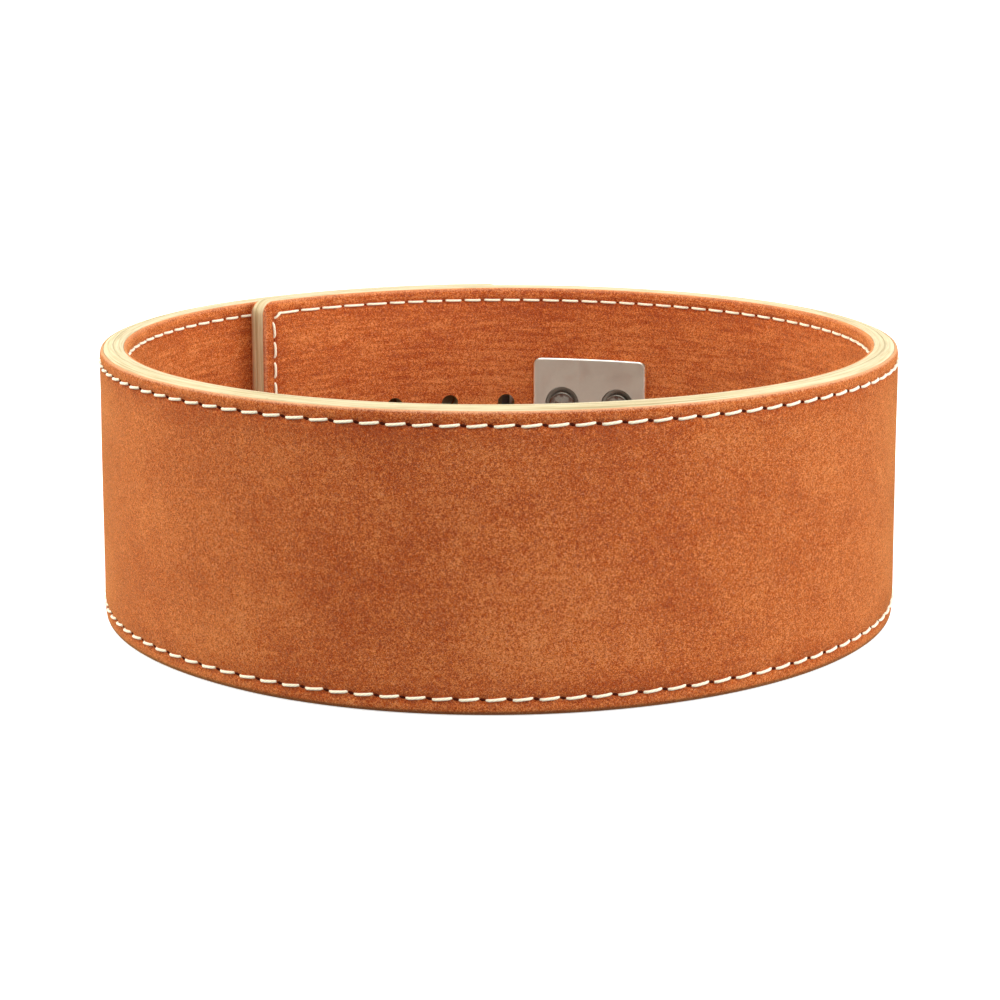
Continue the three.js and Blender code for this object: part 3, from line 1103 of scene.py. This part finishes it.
def makePlate():
    left = farScrew - plate["margin"]
    right = nearScrew + plate["margin"]
    half = plate["height"] / 2
    middle = holes["height"]
    work = bmesh.new()
    platedSolid(work, left, right, middle - half, middle + half, plate["back"], plate["face"],
                plate["corner"], plate["rounding"])
    blank = addObject("backing_plate_blank", meshFromWork("plate blank", work), materials["plate"])
    work = bmesh.new()
    radius = plate["recess"] / 2
    soft = plate["recessRound"]
    for distance in (farScrew, nearScrew):
        rings = [(plate["recessFloor"], radius - soft)]
        rings += [(plate["recessFloor"] - soft * (1 - math.cos(turn)), radius - soft * (1 - math.sin(turn)))
                  for turn in (0.6, 1.1, math.pi / 2)]
        rings += [(plate["face"] + soft, radius)]
        rings += [(plate["face"] + soft * math.cos(turn), radius + soft * (1 - math.sin(math.pi / 2 - turn)))
                  for turn in (0.5, 1.0, 1.35)]
        rings += [(plate["face"] - 0.2, radius + soft + 0.1)]
        turnedRings(work, distance, middle, rings)
    cutters = addObject("recess_cutters", meshFromWork("recess cutters", work), materials["plate"])
    cutAway(blank, cutters)
    bpy.data.objects.remove(cutters)
    work = bmesh.new()
    work.from_mesh(blank.data)
    bpy.data.objects.remove(blank)
    sliceAlong(work, left, right)
    mesh = meshFromWork("backing_plate_steel", work)
    # Its map holds the way in from the plate's edge and the depth below its face
    flat = np.array([corner.co for corner in mesh.vertices])
    inset = np.minimum(flat - flat.min(axis=0), flat.max(axis=0) - flat)
    depth = flat[:, 1] - flat[:, 1].min()
    mapByVertex(mesh, "flat", np.stack([np.minimum(inset[:, 0], inset[:, 2]), depth], axis=-1) * mm)
    bendMesh(mesh, onStrap)
    smoothMesh(mesh, plate["sharp"])
    return addObject("backing_plate_steel", mesh, materials["plate"])


screw = {
    "headDiameter": 11,
    "headTop": -8.825,
    "seat": -5.95,
    "shank": 6,
    "end": 10.325,
    "rounding": 0.7,
    "socket": 5.5,
    "socketDepth": 1.7,
    "socketChamfer": 0.3,
    "cornerReach": 1.155,  # of a hexagon, from its flats to its corners
    "tipChamfer": 0.5,
    "seatChamfer": 0.2,
    "sharp": 28,
}


# The screw is turned about the Z axis, pointing outward, and planted at its two holes
def screwTree():
    board, entry = newTree("screws", [
        ("Pattern", "NodeSocketObject", None),
        ("Material", "NodeSocketMaterial", None),
    ])
    pattern = board.node("GeometryNodeObjectInfo", None, {"Object": entry["Pattern"]}, "Geometry")
    return plantTemplate(board, entry, pattern)


def makeScrews():
    radius = screw["headDiameter"] / 2
    shank = screw["shank"] / 2
    soft = screw["rounding"]
    top = screw["headTop"]
    end = screw["end"]
    seat = screw["seat"]
    chamfer = screw["socketChamfer"]
    rings = [(end, shank - screw["tipChamfer"]), (end - screw["tipChamfer"], shank), (seat, shank),
             (seat, radius - screw["seatChamfer"]), (seat - screw["seatChamfer"], radius)]
    rings += [(top + soft * (1 - math.sin(turn)), radius - soft * (1 - math.cos(turn)))
              for turn in np.linspace(0, math.pi / 2, 6)]
    flats = screw["socket"]
    bottom = top + screw["socketDepth"]
    mouth = flats / 2 * screw["cornerReach"] + chamfer
    rings += [(top, mouth), (top + chamfer, (flats,)), (bottom, (flats,))]
    rings += [(bottom + 0.1, (flats - 0.4,)), (bottom + 0.5, 0.6)]  # the drill's cone in the socket's floor
    work = bmesh.new()
    turnedRings(work, 0, 0, rings)
    for corner in work.verts:
        corner.co = Vector((corner.co.x, corner.co.z, corner.co.y)) * mm
    mesh = meshFromWork("screw pattern", work)
    smoothMesh(mesh, screw["sharp"])
    pattern = addObject("screw_pattern", mesh, materials["screw"])
    distances = np.array([nearScrew, farScrew])
    run, outward = directionsAt(distances)
    points = onStrap(distances, 0, holes["height"])
    guides = makeGuides("socket_screws", points, run, outward, np.ones((2, 3)))
    made = growPiece(guides, screwTree(), {"Pattern": pattern, "Material": materials["screw"]})
    bpy.data.objects.remove(pattern)
    return made


backingPlate = makePlate()
screws = makeScrews()
print("plate and screws made")

clasp = {
    "height": 72,
    "reach": 22,
    "thickness": 2.6,
    "corner": 6,
    "rounding": 0.9,
    "lip": 12,
    "lipFlare": 3,
    "baseHeight": 66,
    "baseThickness": 2.5,
    "baseLedge": 7,
    "baseCorner": 4,
    "baseRounding": 0.7,
    "spineHeight": 60,
    "spineWall": 3,
    "spineCorner": 1.5,
    "spineRounding": 0.5,
    "spineSink": 0.6,
    "tipClearance": 2.5,
    "prong": 6,
    "prongFoot": -4.525,
    "prongSides": 28,
    "fit": 0.3,
    "sharp": 30,
}


# Onto the line of the inner end, which isn't shifted outward, past the outer tip as well
def onInnerEnd(distance, outward, height):
    x, y, runX, runY = pathAt(distance)
    reach = outward + leanAt(height)
    inner = np.stack([x + runY * reach, y - runX * reach, height + riseAt(distance)], axis=-1)
    return inner * mm + placement


def makeClasp():
    middle = holes["height"]
    baseBack = strap["face"] + clasp["fit"]
    leverBack = strap["face"] + strap["lapShift"] + clasp["fit"]
    spineEnd = farScrew - screw["shank"] / 2 - clasp["fit"] - clasp["spineWall"]
    freeEnd = spineEnd - clasp["lip"]
    work = bmesh.new()
    leverTop = leverBack + clasp["thickness"]
    right = loopLength + clasp["reach"]

    def upright(low, high, tall, back, face, corner, rounding):
        platedSolid(work, low, high, middle - tall / 2, middle + tall / 2, back, face, corner, rounding)

    upright(freeEnd, right, clasp["height"], leverBack, leverTop, clasp["corner"], clasp["rounding"])
    sliceAlong(work, freeEnd, right)
    for corner in work.verts:  # the lever's free end flares out, for the fingers
        share = 1 - smoothStep(corner.co.x, freeEnd, spineEnd)
        corner.co.y += clasp["lipFlare"] * float(share)
    upright(spineEnd - clasp["baseLedge"], loopLength - clasp["tipClearance"], clasp["baseHeight"], baseBack,
            baseBack + clasp["baseThickness"], clasp["baseCorner"], clasp["baseRounding"])
    upright(spineEnd, loopLength - 2 * clasp["tipClearance"], clasp["spineHeight"],
            baseBack + clasp["spineSink"], leverBack + clasp["thickness"] / 2,
            clasp["spineCorner"], clasp["spineRounding"])
    sliceAlong(work, freeEnd, right)
    radius = clasp["prong"] / 2
    foot = clasp["prongFoot"] + strap["lapShift"]
    nose = [(foot + radius * 0.6 * (1 - math.sin(turn)), radius * (0.5 + 0.5 * math.cos(turn)))
            for turn in np.linspace(0, math.pi / 2, 5)]
    prongPlace = loopLength + holes["prongFromTip"]
    lifted = float(riseAt(prongPlace))  # the outer end isn't raised
    for height in prongHeights:
        turnedRings(work, prongPlace, height - lifted, [(leverBack + clasp["thickness"] / 2, radius)] + nose,
                    clasp["prongSides"])
    mesh = meshFromWork("lever clasp", work)
    bendMesh(mesh, onInnerEnd)
    smoothMesh(mesh, clasp["sharp"])
    return addObject("lever_clasp_steel", mesh, materials["clasp"])


leverClasp = makeClasp()
print("clasp made")
bpy.data.objects.remove(punch)

room = {
    "floorColour": (0.80, 0.79, 0.78),
    "floorGlow": 0.62,
    "floorRadius": 60,
    "skyStrength": 0.70,
    "underStrength": 0.21,  # what the floor sends back up
    "horizon": (-0.06, 0.10),
    "aim": (0, 0, 0.05),
    "lights": (
        # name, place, size, power, colour
        ("top softbox", (0.0, -0.2, 1.5), 1.6, 14, (1, 0.985, 0.94)),
        ("left softbox", (-1.35, 0.0, 0.45), 0.9, 9.5, (1, 0.93, 0.76)),
        ("right softbox", (1.35, -0.30, 0.45), 0.9, 13, (1, 1, 1)),
        ("front fill", (0.3, -1.6, 0.9), 1.2, 5, (1, 1, 1)),
        ("back fill", (0.0, 1.7, 0.8), 1.2, 3, (1, 1, 1)),
        ("left rim light", (-1.25, 0.8, 0.45), 0.6, 10.5, (1, 0.90, 0.70)),
        ("right rim light", (1.25, 0.8, 0.45), 0.6, 3.5, (1, 1, 1)),
    ),
}


def makeRoom():
    material, board = newMaterial("pale floor")
    haze = board.noise(board.objectPlace(), 3, 2, 0.5)
    colour = board.blend(haze, room["floorColour"], tuple(value * 0.98 for value in room["floorColour"]))
    finishMaterial(board, {
        "Base Color": colour,
        "Roughness": 0.9,
        "Specular IOR Level": 0.1,
        "Emission Color": (1, 1, 1, 1),
        "Emission Strength": room["floorGlow"],
    })
    work = bmesh.new()
    bmesh.ops.create_circle(work, cap_ends=True, radius=room["floorRadius"], segments=96)
    mesh = bpy.data.meshes.new("floor")
    work.to_mesh(mesh)
    work.free()
    floor = addObject("floor", mesh, material)
    floor.visible_diffuse = False  # the world's lower half stands in for its bounce
    for name, spot, size, power, colour in room["lights"]:
        data = bpy.data.lights.new(name, "AREA")
        data.shape = "DISK"
        data.size = size
        data.energy = power
        data.color = colour
        light = bpy.data.objects.new(name, data)
        light.location = spot
        light.rotation_euler = (Vector(room["aim"]) - Vector(spot)).to_track_quat("-Z", "Y").to_euler()
        bpy.context.scene.collection.objects.link(light)
    world = bpy.data.worlds.new("white room")
    world.use_nodes = True
    background = world.node_tree.nodes["Background"]
    background.inputs["Color"].default_value = (1, 1, 1, 1)
    board = Board(world.node_tree)
    up = board.part(board.node("ShaderNodeTexCoord", None, None, "Generated"), "Z")
    under = room["underStrength"]
    strength = board.band(up, *room["horizon"]) * (room["skyStrength"] - under) + under
    board.link(strength, background.inputs["Strength"])
    bpy.context.scene.world = world
    bpy.context.scene.view_settings.view_transform = "Standard"


makeRoom()

# Which piece stands for which solids, and the slot that it takes its finish from
dressing = [
    (outerSkin, "suede", ["outer_suede"]),
    (innerSkin, "suede", ["inner_suede"]),
    (outerPly, "core_leather", ["outer_core_ply"]),
    (innerPly, "core_leather", ["inner_core_ply"]),
    (outerStitches, "stitch_thread", []),
    (innerStitches, "stitch_thread", []),
    (outerNeedleShades, "suede", []),
    (innerNeedleShades, "suede", []),
    (backingPlate, "plate_steel", ["backing_plate"]),
    (screws, "screw_steel", ["screw_1", "screw_2"]),
    (leverClasp, "clasp_steel", ["lever_clasp"]),
]
for piece, finish, nodes in dressing:
    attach(piece, "root")
    if nodes:
        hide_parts(*nodes)
print("pieces dressed:", len(dressing))
